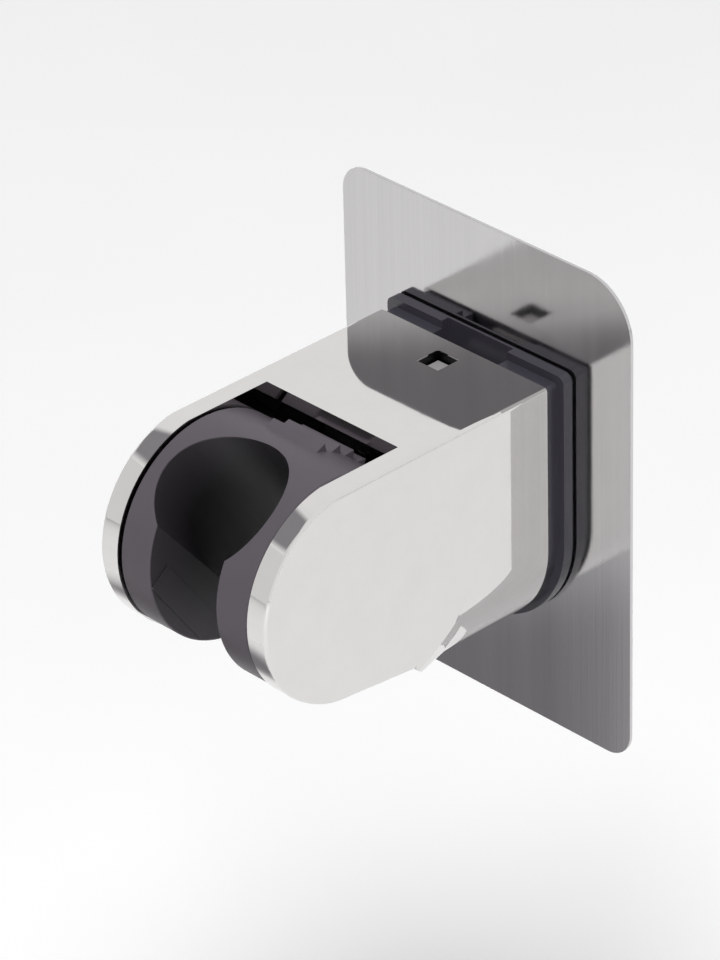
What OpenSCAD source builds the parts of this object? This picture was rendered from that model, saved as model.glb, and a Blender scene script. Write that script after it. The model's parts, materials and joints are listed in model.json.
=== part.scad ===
// Wall holder for a hand shower, in millimetres.
// The wall is the plane Y = 0, the body reaches out along -Y, and Z is up.
// X = 0 and Z = 0 lie at the centre of the mounting plate.
// A depth is a distance in front of the plate's face.

/* [Mounting plate] */
// Width of the steel plate
plate_w = 70; // [62:1:90]
// Height of the steel plate
plate_h = 95; // [80:1:120]
// Thickness of the steel plate
plate_t = 0.6; // [0.4:0.1:1.2]
// Radius of the upper left and lower right corners
corner_small = 5.5; // [3:0.5:9]
// Radius of the upper right and lower left corners
corner_large = 10.5; // [8:0.5:14]
// Thickness of the adhesive pad
pad_t = 1; // [0.5:0.1:2]
// How far the pad's edge lies inside the plate's edge
pad_inset = 1.5; // [1:0.5:3]

/* [Studs] */
// Radius of the welded studs
stud_r = 2; // [1.5:0.5:2.5]
// Height of the upper stud above the plate's centre
stud_up = 4; // [2:0.5:5]
// Distance from the upper stud down to the lower stud
stud_pitch = 18; // [15:0.5:20]
// Radius of the washers under the nuts
washer_r = 4.5; // [4:0.5:5]
// Thickness of the washers under the nuts
washer_t = 0.8; // [0.5:0.1:1]
// Height of the nuts
nut_t = 3.2; // [2.5:0.1:4]
// Radius of the nuts across their corners
nut_r = 4.04; // [3.8:0.02:4.5]

/* [Wall seat] */
// Thickness of the gasket under the lip
gasket_t = 0.5; // [0.3:0.1:0.8]
// Depth of the lip's front face
lip_d = 2.6; // [2:0.1:3]
// How far the lip stands out past the body's outline
lip_out = 1.1; // [0.8:0.1:2]
// Radius of the lip's upper corners
lip_corner = 1.6; // [1.4:0.1:3]
// Thickness of the seat's floor, under the washers
floor_t = 1.5; // [1:0.1:2]
// Thickness of the seat's wall
seat_wall = 2; // [1.5:0.1:2.5]
// Depth of the seat's front edge, as a share of the clip axis's depth
seat_share = 0.3; // [0.28:0.01:0.33]
// Gap between the seat and the body's inside
seat_gap = 0.25; // [0.2:0.05:0.4]
// Width of the notch in the seat's top
notch_w = 16; // [14:0.5:18]

/* [Body] */
// Width across the two arms
body_w = 41; // [39:0.5:46]
// Height of the flat top above the plate's centre
body_top = 25.4; // [24.6:0.2:27]
// Distance from the plate's centre down to the centre of the round underside
under_z = 7; // [5:0.5:9]
// Depth of the body's rear edge
rear_d = 5.5; // [5:0.1:6.5]
// Depth of the noses of the arms
reach = 72.8; // [72:0.2:78]
// Radius of the round noses
nose_r = 20.4; // [20:0.1:20.8]
// Thickness of the body's shell
shell_t = 2.6; // [2.2:0.1:3]
// Thickness of each arm
arm_t = 4.4; // [4:0.1:5]
// Radius of the body's outer edges
edge_r = 0.8; // [0.6:0.1:1.4]
// Distance from the clip's axis back to the rear edge of the opening
roof_back = 15.4; // [14:0.2:17]
// Gap between the web between the arms and the detent spring
web_gap = 0.7; // [0.4:0.1:1]
// Thickness of the web between the arms
web_t = 2.4; // [2:0.1:3]
// Distance from the clip's axis back to where the underside is square
blend_back = 14.4; // [11:0.2:16]
// Length over which the round underside turns square
blend_long = 12; // [9:0.5:14]
// Slope of the arms' underside, in degrees
under_slope = 6; // [2:1:9]

/* [Latch] */
// Side of the square window
window_w = 5.2; // [4.6:0.1:6]
// Depth of the window's centre, as a share of the clip axis's depth
window_share = 0.22; // [0.21:0.005:0.24]
// How far the catch lies below the top face
catch_drop = 1.7; // [1.4:0.1:1.9]
// Width of the latch lever
lever_w = 10; // [8:0.5:11]
// Thickness of the latch lever
lever_t = 1.6; // [1.2:0.1:1.8]
// Radius of the latch pin
latch_pin_r = 1; // [0.8:0.1:1.2]
// Wire diameter of the latch spring
wire_t = 0.5; // [0.4:0.05:0.7]
// Coil radius of the latch spring, to the wire's centre
coil_r = 1.6; // [1.4:0.1:2]
// Turns of the latch spring
coil_turns = 4; // [3:1:6]

/* [Clip] */
// Gap between the clip and the noses' outline
clip_inset = 0.3; // [0.2:0.1:1]
// Gap between the clip and each arm
clip_gap = 0.4; // [0.4:0.05:0.8]
// Radius of the conical bore at the surface of the clip
mouth_r = 12.4; // [11.8:0.1:13.2]
// Radius of the bore's straight end
land_r = 11; // [10:0.1:11.5]
// Distance from the clip's axis down the bore to the straight end
land_drop = 9; // [8:0.5:11]
// Width of the hose slot
slot_w = 16.6; // [15:0.2:18]
// Forward tilt of the bore from upright, in degrees
bore_tilt = 35; // [30:1:45]
// Thickness of the pads on the slot's walls
slot_pad_t = 0.25; // [0.15:0.05:0.4]
// Width of the pads on the slot's walls
slot_pad_w = 4.8; // [4:0.1:6]

/* [Ratchet] */
// Angle between the ratchet teeth
tooth_step = 10.5; // [10:0.5:12]
// Angle from the clip's top back to the first tooth
tooth_start = 21; // [18:1:24]
// Number of ratchet teeth
tooth_n = 9; // [7:1:9]
// Height of the teeth
tooth_h = 1.5; // [1:0.1:1.7]
// Width of the teeth
tooth_w = 12.6; // [10:0.2:14]
// Thickness of the detent spring
leaf_t = 0.4; // [0.3:0.05:0.5]
// Width of the detent spring
leaf_w = 9; // [7:0.5:11]
// Gap between the detent spring and the tips of the teeth
leaf_gap = 0.4; // [0.3:0.05:0.6]

/* [Pivot] */
// Radius of the pivot pins
pin_r = 3; // [2.5:0.1:3.5]
// How far each pin reaches into its arm
pin_in_arm = 2.6; // [2:0.1:3]
// How far each pin reaches into the clip
pin_in_clip = 2.4; // [2:0.1:2.6]
// Wall of the pivot bushes
bush_t = 1; // [0.8:0.1:1.2]
// Running clearance between pin and bush
pin_gap = 0.05; // [0.02:0.01:0.08]
// Thickness of the friction washers
friction_t = 0.36; // [0.25:0.01:0.38]
// Outer radius of the friction washers
friction_r = 6.5; // [5.5:0.1:8]

/* [Hidden] */
$fn = 96;

// Depth zero, measured from the wall
face_y = pad_t + plate_t;
// One overrun for all cuts, and one small clearance for pieces that stay together
over = 1;
fit = 0.02;

// Body
half_w = body_w / 2;
crease_rise = 0.2;
nose_d = reach - nose_r;
nose_z = body_top + crease_rise - nose_r;
seat_d = seat_share * nose_d;
window_d = window_share * nose_d;
roof_d = nose_d - roof_back;
blend_d1 = nose_d - blend_back;
blend_d0 = blend_d1 - blend_long;
fork_half = half_w - arm_t;
roof_z = body_top - shell_t;
corner_over = 0.3;
foot_in = 0.05;

// Wall seat
spigot_inset = shell_t + seat_gap;
spigot_half = half_w - spigot_inset;
spigot_top = body_top - spigot_inset;
spigot_corner = 1;
cavity_half = spigot_half - seat_wall;
cavity_top = spigot_top - seat_wall;
neck_in = 0.5;
neck_gap = 0.3;
floor_d = gasket_t + floor_t;
gasket_in = 0.6;
gasket_band = 4;
notch_back = 0.5;
notch_deep = 4.6;

// Latch: the lever turns on a pin across the notch
hub_r = 2;
hub_gap = 0.3;
hub_back = 0.6;
hub_down = 0.6;
lever_up = 1.2;
latch_d = gasket_t + notch_back + hub_r + hub_gap + hub_back;
latch_z = roof_z - hub_r - hub_down;
lever_top = latch_z + lever_up;
lever_gap = 0.4;
catch_w = window_w - 2 * lever_gap;
lever_end = window_d + catch_w / 2;
ear_w = 3;
ear_t = 2.4;
pin_in_ear = 1.6;
shelf_t = 1.5;
shelf_w = 8;
shelf_gap = 1.4;
shelf_z = latch_z - hub_r - coil_turns * shelf_gap;
spring_back = 1;
spring_d = window_d - spring_back;

// Clip
clip_r = nose_r - clip_inset;
clip_half = fork_half - clip_gap;
clip_edge = 0.4;
tip_r = clip_r + tooth_h;
tooth_root = 0.4;
tooth_ramp = 1.9;
tooth_back = 1.2;
bush_r = pin_r + pin_gap + bush_t;

// Detent spring: its nose points at the clip's axis
leaf_nose_d = nose_d - tip_r - leaf_gap;
leaf_bump = 0.5;
leaf_d = leaf_nose_d - leaf_bump - leaf_t;
web_d = leaf_d - web_gap;
chamber_d = web_d - web_t;
leaf_low = 17;
leaf_high = 4.5;
leaf_half_nose = 1.6;
boss_h = 9;
boss_w = 11;
screw_down = 12.5;
screw_r = 1.2;
screw_long = 3;
screw_head_r = 2.3;
screw_head_t = 1.3;
slit_w = 0.6;

// Colours
steel = [0.78, 0.78, 0.78];
chrome = [0.88, 0.88, 0.89];
charcoal = [0.26, 0.25, 0.28];
dark = [0.16, 0.16, 0.18];
zinc = [0.62, 0.63, 0.65];
brass = [0.78, 0.62, 0.32];
clear = [0.85, 0.88, 0.9];

// Outline in X and Z, drawn out from y0 to y1 in front of the wall
module off_wall(y0, y1) {
    translate([0, -y0, 0])
    rotate([90, 0, 0])
    linear_extrude(y1 - y0)
    children();
}

// Outline in X and Z, drawn out from depth d0 to depth d1
module fwd(d0, d1) {
    off_wall(face_y + d0, face_y + d1) children();
}

// Outline in depth and Z, drawn out across X to a width w about the middle
module across(w) {
    translate([0, -face_y, 0])
    rotate([90, 0, -90])
    linear_extrude(w, center = true)
    children();
}

// Moves to the clip's axis
module at_axis() {
    translate([0, -(face_y + nose_d), nose_z]) children();
}

// Round bar along X from x0 to x1
module bar_x(r, x0, x1) {
    translate([x0, 0, 0])
    rotate([0, 90, 0])
    cylinder(r = r, h = x1 - x0);
}

// Round bar along the depth from d0 to d1
module bar_y(r, d0, d1) {
    fwd(d0, d1) circle(r);
}

// Flat top, round underside: the outline of the body and of the seat
module u_shape(half, top, r) {
    translate([-half, -under_z]) square([2 * half, top - r + under_z]);
    translate([r - half, -under_z]) square([2 * (half - r), top + under_z]);
    for (s = [-1, 1]) translate([s * (half - r), top - r]) circle(r);
    translate([0, -under_z]) circle(half);
}

// Bar from y = 0 up to h, with its two upper corners eased in three facets
module eased_bar(w, h) {
    x = w / 2 - edge_r;
    y = h - edge_r;
    polygon(concat([[w / 2, 0]],
        [for (a = [0 : 30 : 90]) [x + edge_r * cos(a), y + edge_r * sin(a)]],
        [for (a = [90 : 30 : 180]) [edge_r * cos(a) - x, y + edge_r * sin(a)]],
        [[-w / 2, 0]]));
}

// Plate outline with two small and two large corners
module plate_shape(inset) {
    x = plate_w / 2 - inset;
    z = plate_h / 2 - inset;
    a = corner_small - inset;
    b = corner_large - inset;
    difference() {
        square([2 * x, 2 * z], center = true);
        for (s = [-1, 1]) {
            translate([-s * x, s * z]) square(2 * a, center = true);
            translate([s * x, s * z]) square(2 * b, center = true);
        }
    }
    for (s = [-1, 1]) {
        translate([s * (a - x), s * (z - a)]) circle(a);
        translate([s * (x - b), s * (z - b)]) circle(b);
    }
}

module adhesive_pad() {
    color(clear)
    off_wall(0, pad_t)
    plate_shape(pad_inset);
}

module mounting_plate() {
    color(steel)
    off_wall(pad_t, face_y)
    plate_shape(0);
}

// Copies its child at both studs
module at_studs() {
    for (z = [stud_up, stud_up - stud_pitch]) translate([0, 0, z]) children();
}

module weld_studs() {
    color(zinc)
    at_studs()
    bar_y(stud_r, 0, floor_d + washer_t + nut_t + stud_r);
}

module base_gasket() {
    color(dark)
    difference() {
        fwd(0, gasket_t)
        u_shape(half_w + lip_out - gasket_in, body_top + lip_out - gasket_in, lip_corner);
        fwd(-over, gasket_t + over)
        u_shape(half_w + lip_out - gasket_band, body_top + lip_out - gasket_band, lip_corner);
    }
}

module wall_seat() {
    color(charcoal)
    difference() {
        union() {
            seat_shell();
            pin_ears();
            spring_shelf();
        }
        lever_room();
        at_studs() bar_y(stud_r + hub_gap / 2, -over, floor_d + over);
        translate([0, -(face_y + latch_d), latch_z])
        bar_x(latch_pin_r + fit, -notch_w / 2 - pin_in_ear, notch_w / 2 + pin_in_ear);
    }
}

// Lip, neck and spigot, hollow from the front
module seat_shell() {
    difference() {
        union() {
            fwd(gasket_t, lip_d) u_shape(half_w + lip_out, body_top + lip_out, lip_corner);
            fwd(gasket_t, rear_d - neck_gap)
            u_shape(half_w - neck_in, body_top - neck_in, edge_r);
            fwd(gasket_t, seat_d) u_shape(spigot_half, spigot_top, spigot_corner);
        }
        fwd(floor_d, seat_d + over) u_shape(cavity_half, cavity_top, spigot_corner);
    }
}

// Two ears inside the seat that hold the ends of the latch pin
module pin_ears() {
    for (s = [-1, 1])
    translate([s * (notch_w + ear_w) / 2 - ear_w / 2, -(face_y + latch_d + ear_t), latch_z - ear_t])
    cube([ear_w, ear_t + latch_d - gasket_t, ear_t + cavity_top - latch_z + seat_wall / 2]);
}

// Ledge that the latch spring stands on
module spring_shelf() {
    translate([-shelf_w / 2, -(face_y + spring_d + shelf_w / 2), shelf_z - shelf_t])
    cube([shelf_w, spring_d + shelf_w / 2 - gasket_t, shelf_t]);
}

// Notch in the seat's top and slot for the latch lever
module lever_room() {
    slot = lever_w + 2 * lever_gap;
    low = latch_z - hub_r - hub_gap;
    high = lip_out + shell_t + body_top - low;
    translate([-notch_w / 2, -(face_y + gasket_t + notch_back + notch_deep + over), low])
    cube([notch_w, notch_deep + over, high]);
    translate([-slot / 2, -(face_y + seat_d + over), low])
    cube([slot, seat_d + over - gasket_t - notch_back - notch_deep, high]);
}

module stud_washers() {
    color(zinc)
    at_studs()
    difference() {
        bar_y(washer_r, floor_d, floor_d + washer_t);
        bar_y(stud_r + hub_gap / 2, floor_d - over, floor_d + washer_t + over);
    }
}

module stud_nuts() {
    d0 = floor_d + washer_t;
    color(zinc)
    at_studs()
    difference() {
        fwd(d0, d0 + nut_t) circle(nut_r, $fn = 6);
        bar_y(stud_r + fit, d0 - over, d0 + nut_t + over);
    }
}

module latch_pin() {
    x = notch_w / 2 + pin_in_ear - fit;
    color(zinc)
    translate([0, -(face_y + latch_d), latch_z])
    bar_x(latch_pin_r, -x, x);
}

module latch_lever() {
    color(dark)
    difference() {
        union() {
            across(lever_w) {
                translate([latch_d, latch_z]) circle(hub_r);
                translate([latch_d, lever_top - lever_t])
                square([lever_end - latch_d, lever_t]);
            }
            across(catch_w)
            translate([lever_end - catch_w, lever_top - lever_t / 2])
            square([catch_w, body_top - catch_drop - lever_top + lever_t / 2]);
        }
        translate([0, -(face_y + latch_d), latch_z])
        bar_x(latch_pin_r + pin_gap, -lever_w, lever_w);
    }
}

// One point of the spring's wire: ring k of the helix, corner j of the wire
function coil_point(k, j, rings, sides, low, high) =
    let (turn = 360 * coil_turns * k / rings,
         side = 360 * j / sides,
         r = coil_r + wire_t / 2 * cos(side),
         z = low + (high - low) * k / rings + wire_t / 2 * sin(side))
    [r * cos(turn), r * sin(turn), z];

module latch_spring() {
    rings = 12 * coil_turns;
    sides = 6;
    low = shelf_z + wire_t / 2;
    high = lever_top - lever_t - wire_t / 2;
    points = [for (k = [0 : rings], j = [0 : sides - 1])
        coil_point(k, j, rings, sides, low, high)];
    walls = [for (k = [0 : rings - 1], j = [0 : sides - 1])
        let (a = k * sides + j, b = k * sides + (j + 1) % sides)
        each [[a, a + sides, b + sides], [a, b + sides, b]]];
    start = [[for (j = [0 : sides - 1]) j]];
    end = [[for (j = [sides - 1 : -1 : 0]) rings * sides + j]];
    color(zinc)
    translate([0, -(face_y + spring_d), 0])
    polyhedron(points, concat(walls, start, end));
}

// Round underside at the rear, whose corners run out in a cone towards the arms
module round_underside() {
    low = nose_z - nose_r * cos(under_slope)
        - (nose_d + nose_r * sin(under_slope) - blend_d1) * tan(under_slope);
    bottom = -under_z - half_w;
    rise = (low - bottom) / (blend_d1 - blend_d0);
    corner_r = norm([half_w, -under_z - low]) + corner_over;
    intersection() {
        across(body_w)
        polygon([[rear_d, over - under_z], [rear_d, bottom - over],
            [blend_d0 - over / rise, bottom - over], [blend_d1, low],
            [blend_d1, over - under_z]]);
        union() {
            translate([0, 0, -under_z]) bar_y(half_w, rear_d, blend_d0);
            translate([0, -(face_y + blend_d0), -under_z])
            rotate([90, 0, 0])
            cylinder(r1 = half_w, r2 = corner_r, h = blend_d1 - blend_d0, $fn = 180);
        }
    }
}

// Round noses, cut off level with the flat top behind the crease
module noses() {
    intersection() {
        at_axis()
        rotate([0, 90, 0])
        rotate_extrude($fn = 180)
        rotate(-90)
        eased_bar(body_w, nose_r);
        fwd(blend_d0, reach + over)
        translate([0, body_top - 3 * nose_r])
        eased_bar(body_w, 3 * nose_r);
    }
}

// Sloping underside of the arms, from the noses back to the blend
module arm_undersides() {
    back = (nose_d + nose_r * sin(under_slope) - blend_d1) / cos(under_slope);
    at_axis()
    rotate([-90 - under_slope, 0, 0])
    linear_extrude(back)
    eased_bar(body_w, nose_r - foot_in);
}

module body_solid() {
    fwd(rear_d, nose_d)
    translate([0, -under_z])
    eased_bar(body_w, body_top + under_z);
    round_underside();
    noses();
    arm_undersides();
}

module holder_body() {
    color(chrome)
    difference() {
        body_solid();
        fork_room();
        fwd(rear_d - over, chamber_d)
        u_shape(half_w - shell_t, body_top - shell_t, spigot_corner);
        translate([-window_w / 2, -(face_y + window_d + window_w / 2), roof_z - over])
        cube([window_w, window_w, shell_t + 2 * over]);
        at_axis()
        bar_x(pin_r + fit, -fork_half - pin_in_arm, fork_half + pin_in_arm);
        translate([0, 0, nose_z - screw_down])
        bar_y(screw_r + fit, chamber_d - over, leaf_d + over);
    }
}

// Room between the arms, under the roof and in front of it
module fork_room() {
    low = under_z + half_w + over;
    difference() {
        translate([-fork_half, -(face_y + reach + over), -low])
        cube([2 * fork_half, reach + over - web_d, roof_z + low]);
        translate([-boss_w / 2, -(face_y + leaf_d), nose_z - screw_down - boss_h / 2])
        cube([boss_w, leaf_d - web_d + over, boss_h]);
    }
    translate([-fork_half, -(face_y + reach + over), -low])
    cube([2 * fork_half, reach + over - roof_d, body_top + low + over]);
}

// Side view of one tooth, with its ramp towards the front
module tooth() {
    across(tooth_w)
    polygon([[tooth_ramp, clip_r - tooth_root], [0, tip_r], [-tooth_back, clip_r - tooth_root]]);
}

module clip_drum() {
    x = clip_half - clip_edge;
    rotate([0, 90, 0])
    rotate_extrude($fn = 180)
    polygon([[0, -clip_half], [clip_r - clip_edge, -clip_half], [clip_r, -x],
        [clip_r, x], [clip_r - clip_edge, clip_half], [0, clip_half]]);
}

// Bore and hose slot, in the tilted frame of the bore
module clip_cuts() {
    top = clip_r + over;
    slope = (mouth_r - land_r) / (land_drop + sqrt(clip_r * clip_r - mouth_r * mouth_r));
    cone = top + land_drop;
    translate([0, 0, -top]) cylinder(r = land_r, h = top);
    translate([0, 0, -land_drop])
    cylinder(r1 = land_r, r2 = land_r + slope * cone, h = cone);
    translate([-slot_w / 2, -top, -top]) cube([slot_w, top, 2 * top]);
}

// Shallow pads on the slot's walls, along the bore
module slot_pads() {
    mid = clip_r - slot_pad_w;
    length = clip_r - tooth_h;
    for (s = [-1, 1])
    translate([s * (slot_w / 2) - slot_pad_t, -mid - slot_pad_w / 2, -length / 2])
    cube([2 * slot_pad_t, slot_pad_w, length]);
}

module swivel_clip() {
    color(charcoal)
    at_axis()
    difference() {
        union() {
            difference() {
                union() {
                    clip_drum();
                    for (i = [0 : tooth_n - 1])
                    rotate([-(tooth_start + i * tooth_step), 0, 0])
                    translate([0, face_y, 0])
                    tooth();
                }
                rotate([bore_tilt, 0, 0]) clip_cuts();
            }
            rotate([bore_tilt, 0, 0]) slot_pads();
        }
        for (s = [-1, 1])
        translate([s * clip_half, 0, 0])
        bar_x(bush_r + fit, -pin_in_clip - fit, pin_in_clip + fit);
    }
}

// One side's pivot pieces are drawn on the right, and mirrored for the left
module pivot_pin() {
    color(zinc)
    at_axis()
    bar_x(pin_r, clip_half - pin_in_clip + fit, fork_half + pin_in_arm - fit);
}

module pivot_bush() {
    color(brass)
    at_axis()
    difference() {
        bar_x(bush_r, clip_half - pin_in_clip, clip_half - fit);
        bar_x(pin_r + pin_gap, clip_half - pin_in_clip - over, clip_half + over);
    }
}

module friction_washer() {
    color(dark)
    at_axis()
    difference() {
        bar_x(friction_r, fork_half - friction_t, fork_half);
        bar_x(pin_r + fit, fork_half - friction_t - over, fork_half + over);
    }
}

module pivot_pin_left() {
    mirror([1, 0, 0]) pivot_pin();
}

module pivot_pin_right() {
    pivot_pin();
}

module pivot_bush_left() {
    mirror([1, 0, 0]) pivot_bush();
}

module pivot_bush_right() {
    pivot_bush();
}

module friction_washer_left() {
    mirror([1, 0, 0]) friction_washer();
}

module friction_washer_right() {
    friction_washer();
}

// Leaf behind the clip, with a nose that points at the teeth
module detent_spring() {
    d = leaf_d;
    t = leaf_t;
    z = nose_z;
    n = leaf_half_nose;
    color(zinc)
    difference() {
        across(leaf_w)
        polygon([[d, z - leaf_low], [d + t, z - leaf_low], [d + t, z - n],
            [d + t + leaf_bump, z], [d + t, z + n], [d + t, z + leaf_high],
            [d, z + leaf_high], [d, z + n], [d + leaf_bump, z], [d, z - n]]);
        translate([0, 0, z - screw_down])
        bar_y(screw_r + hub_gap / 2, d - over, d + t + over);
    }
}

module detent_screw() {
    head_d = leaf_d + leaf_t;
    color(zinc)
    translate([0, 0, nose_z - screw_down])
    difference() {
        union() {
            bar_y(screw_r, head_d - screw_long, head_d);
            bar_y(screw_head_r, head_d, head_d + screw_head_t);
        }
        for (turn = [0, 90])
        translate([0, -(face_y + head_d + screw_head_t), 0])
        rotate([0, turn, 0])
        cube([2 * screw_head_r - 2 * slit_w, slit_w, slit_w], center = true);
    }
}

adhesive_pad();
mounting_plate();
weld_studs();
base_gasket();
wall_seat();
stud_washers();
stud_nuts();
latch_pin();
latch_lever();
latch_spring();
holder_body();
swivel_clip();
pivot_pin_left();
pivot_pin_right();
pivot_bush_left();
pivot_bush_right();
friction_washer_left();
friction_washer_right();
detent_spring();
detent_screw();
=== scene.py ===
# Wall holder for a hand shower: a brushed steel plate, a dark seat, a chromed arm and a dark clip.
import json
import math

import bmesh
import bpy
from mathutils import Matrix, Vector


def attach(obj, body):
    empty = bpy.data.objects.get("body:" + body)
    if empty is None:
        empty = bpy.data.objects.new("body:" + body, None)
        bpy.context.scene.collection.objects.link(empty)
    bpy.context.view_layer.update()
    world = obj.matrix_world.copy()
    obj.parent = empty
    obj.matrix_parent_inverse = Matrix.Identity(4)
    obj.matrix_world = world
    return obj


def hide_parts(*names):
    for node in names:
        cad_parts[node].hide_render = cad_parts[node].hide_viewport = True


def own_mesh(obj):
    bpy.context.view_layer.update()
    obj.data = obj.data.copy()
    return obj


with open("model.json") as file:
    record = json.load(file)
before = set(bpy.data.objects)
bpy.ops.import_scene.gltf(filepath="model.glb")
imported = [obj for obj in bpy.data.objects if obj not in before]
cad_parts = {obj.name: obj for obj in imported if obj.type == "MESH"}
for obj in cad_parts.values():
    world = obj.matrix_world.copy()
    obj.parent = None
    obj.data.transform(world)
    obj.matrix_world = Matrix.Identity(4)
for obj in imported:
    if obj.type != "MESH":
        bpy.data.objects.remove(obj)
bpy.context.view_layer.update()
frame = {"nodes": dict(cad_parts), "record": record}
MM = 0.001

# The camera, as fitted to the photograph: turned AZIMUTH from straight on, raised ELEVATION,
# tipped by ROLL, and DISTANCE millimetres from the middle of the plate's face. The photograph is
# PICTURE pixels wide and high, and shows that middle at PLATE_AT.
AZIMUTH, ELEVATION, ROLL = math.radians(46.6), math.radians(30.9), math.radians(-1.5)
DISTANCE = 1000.0
PIXELS_PER_MM = 5.67
PLATE_MIDDLE = Vector((0, -1.6, 0))
PICTURE = (720, 960)
PLATE_AT = (486.4, 461.8)
SENSOR = 36.0
NEAREST, FARTHEST = 0.05, 20

# The material slot that the record gives each piece.
SLOTS = {row["node"]: row["material_slot"] for row in frame["record"]["subparts"]}

# Painted shade in the clip's hollow: the clip is taken as a drum round its swivel, shaded from just
# under its skin down to its core, as where no light reaches.
JOINTS = frame["record"]["behaviour"]["joints"]
SWIVEL = next(Vector(row["pos_m"]) for row in JOINTS if row["name"] == "clip_swivel")
DRUM_SKIN, DRUM_CORE = 19.85, 8.0

# The square window in the body's top: its middle, half its side with a little over, how far
# below the top the painted shade on its walls starts, the share of the colour this painted
# shade leaves, and the walls' roughness there.
WINDOW_MIDDLE, WINDOW_HALF = Vector((0, -13.13, 25.4)), 2.7
UNSHADED_RIM = 0.25
WINDOW_PAINTED_SHADE, WINDOW_WALL_ROUGHNESS = 0.06, 0.4

# Copies of solids: points closer than WELD millimetres become one, faces that turn less than
# FLAT degrees join, and a FACE_WEIGHT above 50 lets large faces set the shading beside them.
WELD, FLAT, FACE_WEIGHT = 0.002, 0.02, 60

# The span that holds most of a noise's values.
NOISE_SPAN = (0.3, 0.7)

# The floor: its side, and its level under the middle of the pad, in metres, and how strongly it
# glows where it is seen.
FLOOR_SIDE, FLOOR_LEVEL = 5.0, -0.22
FLOOR_GLOW = 0.225

# The studio's light on the object, and its dim corner: the way to it, the cosines at which it
# starts and is full, and the grey that is mixed in there, with its share.
SKY, SKY_STRENGTH = (0.97, 0.98, 1.0, 1), 0.18
CORNER = Vector((-0.62, -0.66, 0.42)).normalized()
CORNER_SPAN = (0.62, 0.86)
CORNER_GREY, CORNER_SHARE = (0.2, 0.2, 0.21, 1), 0.18

WHITE = (1, 1, 1, 1)
# The cards' slight violet cast, as shares of their grey.
CARD_CAST_SHARES = (1.0, 0.98, 1.03)


# Objects and nodes

def put(name, data):
    """An object in the scene with this mesh, lamp or camera."""
    made = bpy.data.objects.new(name, data)
    bpy.context.scene.collection.objects.link(made)
    return made


def flat_sheet(name, width, height, level):
    """A level rectangle round the Z axis."""
    mesh = bpy.data.meshes.new(name)
    x, y = width / 2, height / 2
    corners = [(-x, -y, level), (x, -y, level), (x, y, level), (-x, y, level)]
    mesh.from_pydata(corners, [], [(0, 1, 2, 3)])
    return mesh


def blank_material(name):
    material = bpy.data.materials.new(name)
    material.use_nodes = True
    material.node_tree.nodes.clear()
    return material, material.node_tree


def node(tree, kind, settings=None, **sockets):
    """A node with its settings, and its sockets set to values or fed by other nodes' outputs.

    A socket goes by its name, with _ for a space, or by its number, as in input0.
    """
    made = tree.nodes.new(kind)
    for name, value in (settings or {}).items():
        setattr(made, name, value)
    for name, value in sockets.items():
        name = name.replace("_", " ")
        number = name.removeprefix("input")
        socket = made.inputs[int(number)] if number.isdigit() else made.inputs[name]
        if isinstance(value, bpy.types.NodeSocket):
            tree.links.new(value, socket)
        else:
            socket.default_value = value
    return made


def maths(tree, operation, first, second=0.0):
    made = node(tree, "ShaderNodeMath", {"operation": operation}, input0=first, input1=second)
    return made.outputs[0]


def vectors(tree, operation, first, second=(0, 0, 0)):
    made = node(tree, "ShaderNodeVectorMath", {"operation": operation}, input0=first,
                input1=second)
    return made.outputs


def toned(tree, colour, gain):
    made = node(tree, "ShaderNodeVectorMath", {"operation": "SCALE"}, input0=colour, Scale=gain)
    return made.outputs[0]


def spread(tree, value, span, to, smooth=False):
    """The value, spread from one span to another and held at its ends."""
    kind = "SMOOTHSTEP" if smooth else "LINEAR"
    made = node(tree, "ShaderNodeMapRange", {"interpolation_type": kind}, Value=value,
                From_Min=span[0], From_Max=span[1], To_Min=to[0], To_Max=to[1])
    return made.outputs["Result"]


def tint(tree, amount, first, second):
    made = node(tree, "ShaderNodeMix", {"data_type": "RGBA"}, input0=amount, input6=first,
                input7=second)
    return made.outputs[2]


def own_place(tree):
    """Where a point lies in its object, in metres."""
    return node(tree, "ShaderNodeTexCoord").outputs["Object"]


def noise(tree, place, stretch, detail, rough=0.5):
    """Noise over the object's own metres: stretch is how many features fit in a metre, each way."""
    scaled = vectors(tree, "MULTIPLY", place, stretch)[0]
    made = node(tree, "ShaderNodeTexNoise", Vector=scaled, Scale=1.0, Detail=detail,
                Roughness=rough)
    return made.outputs["Fac"]


# Effects that several finishes share

def effect(name, inputs):
    """A node group with named inputs, which puts out a colour, a height and a roughness."""
    tree = bpy.data.node_groups.new(name, "ShaderNodeTree")
    kinds = {float: "NodeSocketFloat", tuple: "NodeSocketColor", Vector: "NodeSocketVector"}
    for label, value in inputs.items():
        socket = tree.interface.new_socket(label, in_out="INPUT", socket_type=kinds[type(value)])
        socket.default_value = value
    for label, kind in {"Colour": tuple, "Height": float, "Roughness": float}.items():
        tree.interface.new_socket(label, in_out="OUTPUT", socket_type=kinds[kind])
    return tree, tree.nodes.new("NodeGroupInput").outputs


def put_out(tree, colour, height, roughness):
    out = tree.nodes.new("NodeGroupOutput").inputs
    tree.links.new(colour, out["Colour"])
    tree.links.new(height, out["Height"])
    tree.links.new(roughness, out["Roughness"])
    return tree


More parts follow.
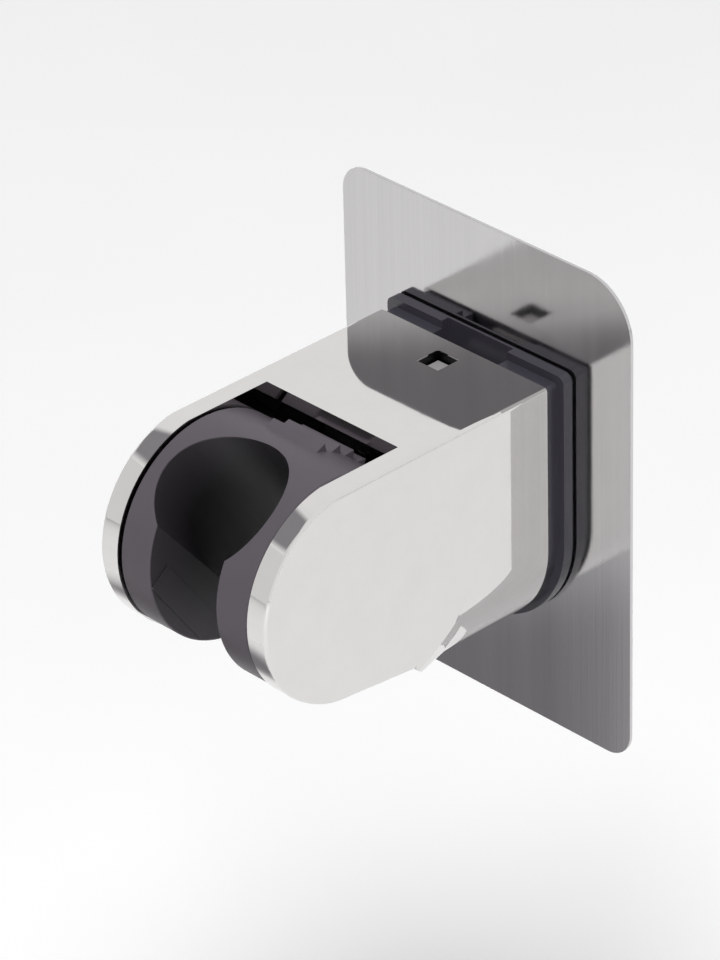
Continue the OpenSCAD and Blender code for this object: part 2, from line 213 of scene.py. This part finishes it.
def brushed_grain():
    """Fine scratches drawn in one direction, over slow bands of lighter and darker metal."""
    tree, given = effect("brushed grain", {
        "Colour": (0.6, 0.6, 0.6, 1.0), "Stretch": Vector((4000, 4000, 30)),
        "Band Stretch": Vector((90, 90, 4)), "Contrast": 0.2, "Roughness": 0.2})
    line_share, band_share = 0.65, 0.35
    lines = noise(tree, own_place(tree), given["Stretch"], detail=3.0, rough=0.7)
    bands = noise(tree, own_place(tree), given["Band Stretch"], detail=2.0)
    mixed = maths(tree, "ADD", maths(tree, "MULTIPLY", lines, line_share),
                  maths(tree, "MULTIPLY", bands, band_share))
    level = maths(tree, "SUBTRACT", mixed, 0.5)
    gain = maths(tree, "ADD", 1.0, maths(tree, "MULTIPLY", level, given["Contrast"]))
    wear = spread(tree, bands, NOISE_SPAN, to=(0.8, 1.2))
    return put_out(tree, toned(tree, given["Colour"], gain), lines,
                   maths(tree, "MULTIPLY", given["Roughness"], wear))


def painted_hollow_shade(tree, given):
    """Painted shade for a hollow: 1 outside the drum, and inside it the skin's shade at Skin Radius
    down to the core's shade at its core.
    """
    off = vectors(tree, "SUBTRACT", own_place(tree), given["Drum Middle"])[0]
    across = vectors(tree, "MULTIPLY", off, (0, 1, 1))[0]
    from_axis = vectors(tree, "LENGTH", across)["Value"]
    deep = spread(tree, from_axis, span=(given["Core Radius"], given["Skin Radius"]),
                  to=(given["Painted Core Shade"], given["Painted Skin Shade"]))
    inside = maths(tree, "LESS_THAN", from_axis, given["Skin Radius"])
    change = maths(tree, "MULTIPLY", inside, maths(tree, "SUBTRACT", deep, 1.0))
    return maths(tree, "ADD", 1.0, change)


def moulded_skin():
    """Fine spark-eroded grain of a moulded plastic, with faint cloudy wear in its sheen.

    Inside a drum of Skin Radius along X through Drum Middle, shade is painted into the colour,
    from the skin's shade down to the core's shade at Core Radius, as in a hollow no light reaches.
    """
    tree, given = effect("moulded skin", {
        "Colour": (0.1, 0.1, 0.1, 1.0), "Grain": 4000.0, "Roughness": 0.4, "Cloud": 0.15,
        "Drum Middle": Vector((0, 0, 0)), "Skin Radius": 0.001, "Core Radius": 0.0,
        "Painted Skin Shade": 1.0, "Painted Core Shade": 1.0})
    grain = noise(tree, own_place(tree), given["Grain"], detail=2.0)
    cloud = noise(tree, own_place(tree), stretch=(70, 70, 70), detail=4.0, rough=0.6)
    level = maths(tree, "MULTIPLY", maths(tree, "SUBTRACT", cloud, 0.5), given["Cloud"])
    gain = maths(tree, "MULTIPLY", maths(tree, "ADD", 1.0, level), painted_hollow_shade(tree, given))
    wear = maths(tree, "SUBTRACT", 1.0, level)
    return put_out(tree, toned(tree, given["Colour"], gain), grain,
                   maths(tree, "MULTIPLY", given["Roughness"], wear))


def shaded_window_walls(tree, given):
    """1 on the window's walls below their rim, where shade is painted, and 0 elsewhere."""
    off = vectors(tree, "SUBTRACT", own_place(tree), given["Window Middle"])[0]
    part = node(tree, "ShaderNodeSeparateXYZ", Vector=off).outputs
    beside = maths(tree, "MAXIMUM", maths(tree, "ABSOLUTE", part["X"]),
                   maths(tree, "ABSOLUTE", part["Y"]))
    below = maths(tree, "MULTIPLY", part["Z"], -1.0)
    return maths(tree, "MULTIPLY", maths(tree, "LESS_THAN", beside, given["Window Half"]),
                 maths(tree, "GREATER_THAN", below, given["Unshaded Rim"]))


def polish():
    """Slow waves of a plated moulding and the thin film that handling leaves on its shine.

    Within Window Half of Window Middle, and below the rim, shade is painted on the wall, which is
    also duller.
    """
    tree, given = effect("polish", {
        "Colour": (0.7, 0.7, 0.7, 1.0), "Roughness": 0.05, "Window Middle": Vector((0, 0, 0)),
        "Window Half": 0.0, "Unshaded Rim": 0.0})
    window_walls = shaded_window_walls(tree, given)
    waves = noise(tree, own_place(tree), stretch=(55, 55, 55), detail=1.0)
    film = noise(tree, own_place(tree), stretch=(160, 160, 160), detail=5.0, rough=0.65)
    # Random tone from the film, and painted shade on the window's walls.
    gain = maths(tree, "MULTIPLY", spread(tree, film, NOISE_SPAN, to=(1.015, 0.985)),
                 spread(tree, window_walls, span=(0.0, 1.0), to=(1.0, WINDOW_PAINTED_SHADE)))
    sheen = maths(tree, "MULTIPLY", given["Roughness"],
                  spread(tree, film, span=(0.35, 0.75), to=(0.8, 1.4)))
    dull = maths(tree, "MULTIPLY", window_walls, WINDOW_WALL_ROUGHNESS)
    return put_out(tree, toned(tree, given["Colour"], gain), waves,
                   maths(tree, "ADD", sheen, dull))


# Finishes

def finish(name, tree_of_effect, values, bump, depth, **shader):
    """A material whose colour, roughness and bump, depth millimetres deep, come from an effect."""
    material, tree = blank_material(name)
    made = tree.nodes.new("ShaderNodeGroup")
    made.node_tree = tree_of_effect
    for label, value in values.items():
        made.inputs[label].default_value = value
    relief = node(tree, "ShaderNodeBump", Strength=bump, Distance=depth * MM,
                  Height=made.outputs["Height"])
    surface = node(tree, "ShaderNodeBsdfPrincipled", Base_Color=made.outputs["Colour"],
                   Roughness=made.outputs["Roughness"], Normal=relief.outputs["Normal"], **shader)
    node(tree, "ShaderNodeOutputMaterial", Surface=surface.outputs[0])
    return material


def bright_chrome(shine):
    # The window's walls get painted shade and a duller finish.
    return finish("bright chrome", shine, {
        "Colour": (0.675, 0.662, 0.652, 1), "Roughness": 0.035,
        "Window Middle": WINDOW_MIDDLE * MM, "Window Half": WINDOW_HALF * MM,
        "Unshaded Rim": UNSHADED_RIM * MM}, bump=0.25, depth=0.06, Metallic=1.0)


def brushed_stainless(brushed):
    return finish("brushed stainless steel", brushed, {
        "Colour": (0.56, 0.55, 0.555, 1), "Stretch": (2600, 2600, 14),
        "Band Stretch": (160, 160, 3), "Contrast": 0.22, "Roughness": 0.105},
        bump=0.3, depth=0.02, Metallic=1.0)


def seat_plastic(skin):
    return finish("charcoal seat plastic", skin, {
        "Colour": (0.036, 0.034, 0.044, 1), "Grain": 3500.0, "Roughness": 0.26},
        bump=0.2, depth=0.02)


def clip_plastic(skin):
    # The clip's hollow gets painted shade, from 0.34 of its colour under the skin to 0.04 at the
    # core.
    return finish("charcoal clip plastic", skin, {
        "Colour": (0.086, 0.075, 0.088, 1), "Grain": 3000.0, "Roughness": 0.42,
        "Drum Middle": SWIVEL, "Skin Radius": DRUM_SKIN * MM, "Core Radius": DRUM_CORE * MM,
        "Painted Skin Shade": 0.34, "Painted Core Shade": 0.04}, bump=0.3, depth=0.03, Specular_IOR_Level=0.2)


def lever_plastic(skin):
    return finish("grey lever plastic", skin, {
        "Colour": (0.26, 0.25, 0.255, 1), "Grain": 3000.0, "Roughness": 0.35},
        bump=0.2, depth=0.02)


def gasket_rubber(skin):
    return finish("black gasket rubber", skin, {
        "Colour": (0.018, 0.018, 0.020, 1), "Grain": 5000.0, "Roughness": 0.7},
        bump=0.4, depth=0.03)


def washer_fibre(skin):
    return finish("dark washer fibre", skin, {
        "Colour": (0.03, 0.03, 0.033, 1), "Grain": 2500.0, "Roughness": 0.8},
        bump=0.5, depth=0.04)


def clear_foam(skin):
    return finish("clear foam pad", skin, {
        "Colour": (0.80, 0.82, 0.84, 1), "Grain": 1800.0, "Roughness": 0.5},
        bump=0.4, depth=0.05, Transmission_Weight=0.35, IOR=1.45)


def fixing_steel(brushed):
    return finish("plain fixing steel", brushed, {
        "Colour": (0.52, 0.53, 0.55, 1), "Stretch": (1500, 1500, 1500),
        "Band Stretch": (200, 200, 200), "Contrast": 0.2, "Roughness": 0.3},
        bump=0.3, depth=0.02, Metallic=1.0)


def spring_steel(brushed):
    return finish("drawn spring steel", brushed, {
        "Colour": (0.58, 0.58, 0.60, 1), "Stretch": (900, 900, 3000),
        "Band Stretch": (200, 200, 200), "Contrast": 0.2, "Roughness": 0.25},
        bump=0.3, depth=0.02, Metallic=1.0)


def bush_brass(brushed):
    return finish("turned brass", brushed, {
        "Colour": (0.70, 0.50, 0.22, 1), "Stretch": (3000, 500, 500),
        "Band Stretch": (300, 100, 100), "Contrast": 0.2, "Roughness": 0.25},
        bump=0.3, depth=0.02, Metallic=1.0)


def finishes():
    """The finish of each material slot in the record."""
    brushed, skin, shine = brushed_grain(), moulded_skin(), polish()
    return {
        "chrome_shell": bright_chrome(shine),
        "plate_steel": brushed_stainless(brushed),
        "seat_plastic": seat_plastic(skin),
        "clip_plastic": clip_plastic(skin),
        "lever_plastic": lever_plastic(skin),
        "gasket_rubber": gasket_rubber(skin),
        "washer_fibre": washer_fibre(skin),
        "adhesive": clear_foam(skin),
        "fixing_steel": fixing_steel(brushed),
        "spring_steel": spring_steel(brushed),
        "bush_brass": bush_brass(brushed),
    }


# The holder's pieces

def dress(looks):
    """Gives each CAD piece the finish of its slot in the record."""
    for name, piece in frame["nodes"].items():
        piece.material_slots[0].material = looks[SLOTS[name]]


def copied_mesh(name, part, hard_from):
    """A solid's mesh with its flat faces joined, hard only where an edge turns by hard_from."""
    mesh = frame["nodes"][part].data.copy()
    mesh.name = name
    if "custom_normal" in mesh.attributes:
        mesh.attributes.remove(mesh.attributes["custom_normal"])
    work = bmesh.new()
    work.from_mesh(mesh)
    bmesh.ops.remove_doubles(work, verts=work.verts, dist=WELD * MM)
    bmesh.ops.dissolve_limit(work, angle_limit=math.radians(FLAT), verts=work.verts,
                             edges=work.edges, use_dissolve_boundaries=False)
    for face in work.faces:
        face.smooth = True
    for edge in work.edges:
        edge.smooth = len(edge.link_faces) != 2 or edge.calc_face_angle() < hard_from
    work.to_mesh(mesh)
    work.free()
    return mesh


def soft_edged(name, part, body, looks, hard_from, width=0, steps=0):
    """A copy of a solid that shades as one surface between its hard edges.

    An edge is hard from hard_from degrees, and is eased by width millimetres in a few steps.
    """
    hard = math.radians(hard_from)
    piece = put(name, copied_mesh(name, part, hard))
    if width:
        ease = piece.modifiers.new("eased edges", "BEVEL")
        ease.width = width * MM
        ease.segments = steps
        ease.limit_method = "ANGLE"
        ease.angle_limit = hard
        ease.miter_outer = "MITER_ARC"
        ease.use_clamp_overlap = True
    shade = piece.modifiers.new("even shading", "WEIGHTED_NORMAL")
    shade.keep_sharp = True
    shade.weight = FACE_WEIGHT
    piece.material_slots[0].material = looks[SLOTS[part]]
    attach(piece, body)
    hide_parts(part)
    return piece


def eased_pieces(looks):
    soft_edged("chromed_shell", "holder_body", "holder", looks, hard_from=20, width=0.12, steps=2)
    soft_edged("turning_clip", "swivel_clip", "clip", looks, hard_from=25, width=0.18, steps=2)
    soft_edged("dark_seat", "wall_seat", "holder", looks, hard_from=35, width=0.25, steps=2)
    soft_edged("steel_plate", "mounting_plate", "holder", looks, hard_from=35, width=0.12, steps=2)
    soft_edged("catch_lever", "latch_lever", "latch", looks, hard_from=35, width=0.25, steps=3)


def latch_coil(looks):
    """A copy of the small coil that shades as one surface between its hard edges, with a mesh of
    its own.
    """
    coil = soft_edged("small_coil", "latch_spring", "holder", looks, hard_from=35)
    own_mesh(coil)


# Camera, studio and floor

def place_camera():
    view = Vector((-math.sin(AZIMUTH) * math.cos(ELEVATION),
                   math.cos(AZIMUTH) * math.cos(ELEVATION), -math.sin(ELEVATION)))
    level = Vector((math.cos(AZIMUTH), math.sin(AZIMUTH), 0))
    upright = level.cross(view)
    right = math.cos(ROLL) * level + math.sin(ROLL) * upright
    up = math.cos(ROLL) * upright - math.sin(ROLL) * level
    beside = (PLATE_AT[0] - PICTURE[0] / 2) / PIXELS_PER_MM
    below = (PLATE_AT[1] - PICTURE[1] / 2) / PIXELS_PER_MM
    spot = PLATE_MIDDLE - beside * right + below * up - DISTANCE * view
    camera = bpy.data.cameras.new("camera")
    camera.sensor_fit = "VERTICAL"
    camera.sensor_height = SENSOR
    camera.lens = PIXELS_PER_MM * DISTANCE * SENSOR / PICTURE[1]
    camera.clip_start = NEAREST
    camera.clip_end = FARTHEST
    seen_from = put("camera", camera)
    axes = Matrix((right, up, -view)).transposed()
    seen_from.matrix_world = Matrix.Translation(spot * MM) @ axes.to_4x4()
    bpy.context.scene.camera = seen_from


def card(name, centre, facing, width, height, grey, fade):
    """Card beside the lens, which only mirror-like surfaces see: grey, and white at its edges."""
    mesh = flat_sheet(name, width, height, level=0)
    sheet = put(name, mesh)
    sheet.location = Vector(centre)
    sheet.rotation_euler = Vector(facing).to_track_quat("Z", "Y").to_euler()
    sheet.visible_camera = sheet.visible_diffuse = sheet.visible_shadow = False
    material, tree = blank_material(name)
    across = node(tree, "ShaderNodeSeparateXYZ", Vector=own_place(tree)).outputs
    inner = []
    for axis, half in (("X", width / 2), ("Y", height / 2)):
        off = maths(tree, "ABSOLUTE", across[axis])
        inner.append(spread(tree, off, span=(half * (1 - fade), half), to=(1.0, 0.0), smooth=True))
    dark = maths(tree, "MULTIPLY", inner[0], inner[1])
    cast = tuple(grey * share for share in CARD_CAST_SHARES)
    shade = tint(tree, dark, WHITE, cast + (1,))
    felt = node(tree, "ShaderNodeEmission", Color=shade, Strength=1.0)
    node(tree, "ShaderNodeOutputMaterial", Surface=felt.outputs[0])
    mesh.materials.append(material)


def seen_directly(tree):
    """1 for rays that carry the background to the eye: camera, mirror and glass rays."""
    path = node(tree, "ShaderNodeLightPath").outputs
    first = maths(tree, "MAXIMUM", path["Is Camera Ray"], path["Is Glossy Ray"])
    return maths(tree, "MAXIMUM", first, path["Is Transmission Ray"])


def studio():
    """White studio, with one dim corner at the front left that shows only in reflections."""
    world = bpy.data.worlds.new("studio")
    bpy.context.scene.world = world
    world.use_nodes = True
    tree = world.node_tree
    tree.nodes.clear()
    way = node(tree, "ShaderNodeTexCoord").outputs["Generated"]
    near = vectors(tree, "DOT_PRODUCT", way, CORNER)["Value"]
    dim = spread(tree, near, CORNER_SPAN, to=(0.0, CORNER_SHARE), smooth=True)
    by_camera = node(tree, "ShaderNodeLightPath").outputs["Is Camera Ray"]
    dim = maths(tree, "MULTIPLY", dim, maths(tree, "SUBTRACT", 1.0, by_camera))
    colour = tint(tree, dim, WHITE, CORNER_GREY)
    white = node(tree, "ShaderNodeBackground", Color=colour, Strength=1.0)
    soft = node(tree, "ShaderNodeBackground", Color=SKY, Strength=SKY_STRENGTH)
    both = node(tree, "ShaderNodeMixShader", input0=seen_directly(tree), input1=soft.outputs[0],
                input2=white.outputs[0])
    node(tree, "ShaderNodeOutputWorld", Surface=both.outputs[0])


def lamp(name, away, distance, size, power):
    """Soft square lamp that stands away from the object in one direction and faces it."""
    light = bpy.data.lights.new(name, "AREA")
    light.size = size
    light.energy = power
    stand = put(name, light)
    stand.location = Vector(away).normalized() * distance
    stand.rotation_euler = Vector(away).to_track_quat("Z", "Y").to_euler()
    stand.visible_glossy = False


def floor():
    """Pale matt floor that keeps the object's shadow, and glows a little where it is seen."""
    mesh = flat_sheet("floor", FLOOR_SIDE, FLOOR_SIDE, FLOOR_LEVEL)
    sheet = put("floor", mesh)
    material, tree = blank_material("pale floor")
    patches = noise(tree, own_place(tree), stretch=(9, 9, 9), detail=4.0)
    mottle = spread(tree, patches, NOISE_SPAN, to=(0.97, 1.0))
    matt = node(tree, "ShaderNodeBsdfDiffuse", Color=toned(tree, (0.8, 0.8, 0.8), mottle))
    glow = node(tree, "ShaderNodeEmission", Color=WHITE,
                Strength=maths(tree, "MULTIPLY", seen_directly(tree), FLOOR_GLOW))
    both = node(tree, "ShaderNodeAddShader", input0=matt.outputs[0], input1=glow.outputs[0])
    node(tree, "ShaderNodeOutputMaterial", Surface=both.outputs[0])
    mesh.materials.append(material)


place_camera()
bpy.context.scene.view_settings.view_transform = "Standard"
looks = finishes()
dress(looks)
eased_pieces(looks)
latch_coil(looks)
studio()
lamp("soft lamp above", away=(0.42, -0.45, 1.0), distance=3.2, size=1.1, power=116.0)
floor()
card("high card", centre=(-0.100, -0.095, 0.140), facing=(0.62, 0.59, -0.51), width=0.16,
     height=0.085, grey=0.30, fade=0.35)
card("low card", centre=(-0.098, -0.095, -0.137), facing=(0.62, 0.59, 0.51), width=0.15,
     height=0.11, grey=0.24, fade=0.8)
